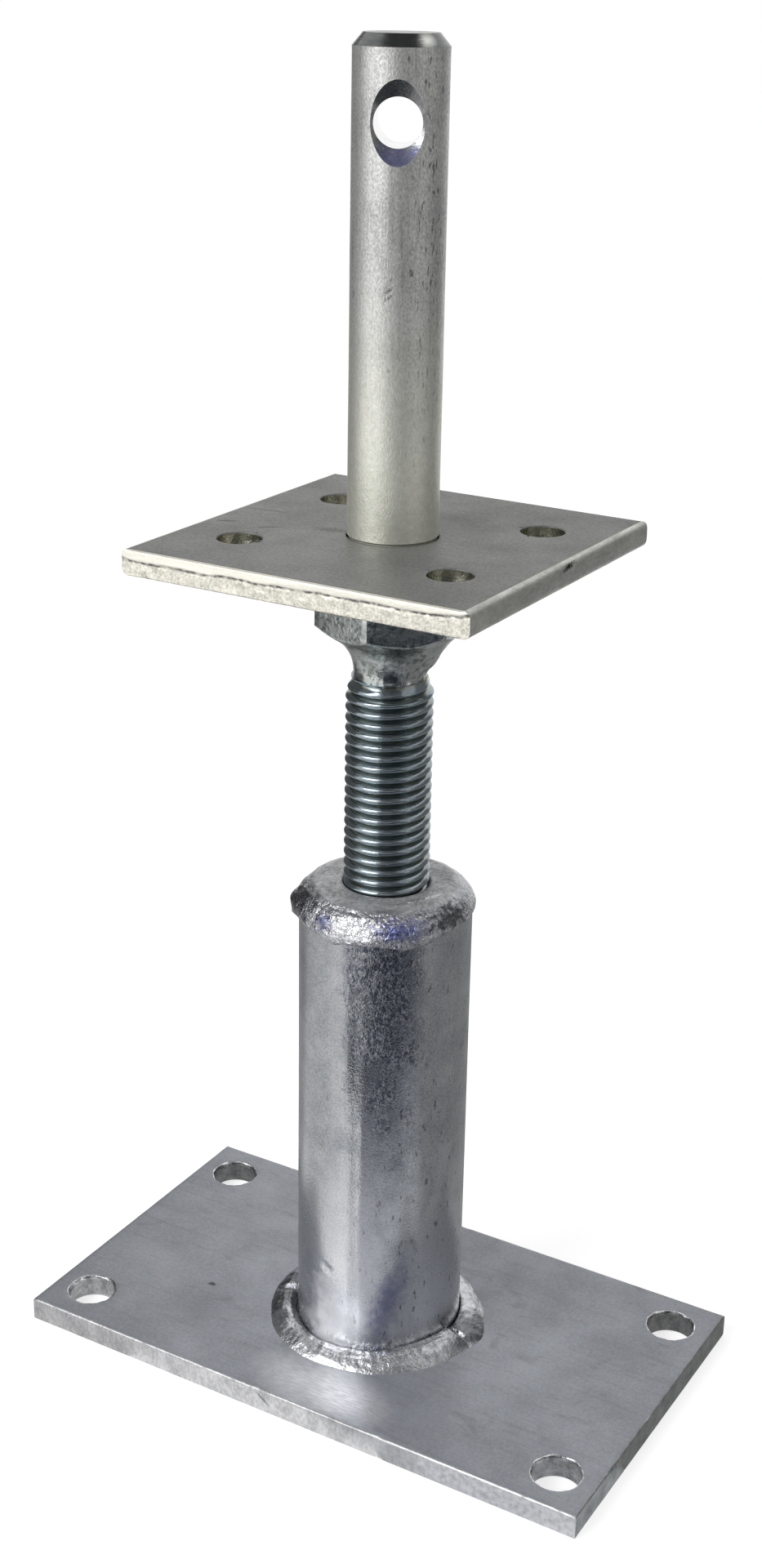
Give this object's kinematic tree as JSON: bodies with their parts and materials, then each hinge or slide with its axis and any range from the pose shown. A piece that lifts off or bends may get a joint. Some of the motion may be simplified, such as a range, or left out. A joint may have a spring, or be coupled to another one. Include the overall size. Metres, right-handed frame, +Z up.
{
  "type": "adjustable post base",
  "caption": "Steel post base on a drilled plate, with a welded sleeve, a threaded height spindle with spanner flats, and a drilled top plate with a tall dowel pin.",
  "frame": {"origin": "centre of the base plate's underside, on the spindle's axis", "axes": "+Z up along the spindle and the dowel pin, +X along the base plate's long side"},
  "size_m": [0.18, 0.102, 0.369],
  "materials": {
    "galvanised_plate": "hot-dip galvanised, matte and mottled",
    "galvanised_tube": "hot-dip galvanised, satin",
    "galvanised_weld": "hot-dip galvanised weld bead, shiny and lumpy",
    "zinc_plated_spindle": "bright zinc plated, shiny",
    "zinc_plated_plate": "zinc plated, matte, with sheared edges",
    "zinc_plated_pin": "zinc plated drawn bar, satin"
  },
  "bodies": {
    "base": {"base_plate": "galvanised_plate", "sleeve_tube": "galvanised_tube", "base_weld": "galvanised_weld", "threaded_bush": "galvanised_weld", "bush_weld": "galvanised_weld"},
    "head": {"top_plate": "zinc_plated_plate", "dowel_pin": "zinc_plated_pin", "pin_weld": "zinc_plated_plate"},
    "spindle": {"spindle": "zinc_plated_spindle"}
  },
  "joints": [
    {"name": "height_adjust", "type": "slide", "parent": "base", "child": "head", "axis": [0, 0, 1], "range_m": [-0.057, 0.045]},
    {"name": "spindle_turn", "type": "hinge", "parent": "head", "child": "spindle", "pos_m": [0, 0, 0.2], "axis": [0, 0, 1], "range_deg": [-6840, 5400]}
  ],
  "couplings": [
    {"joint": "spindle_turn", "follows": "height_adjust", "rad_per_m": 2094.4}
  ]
}
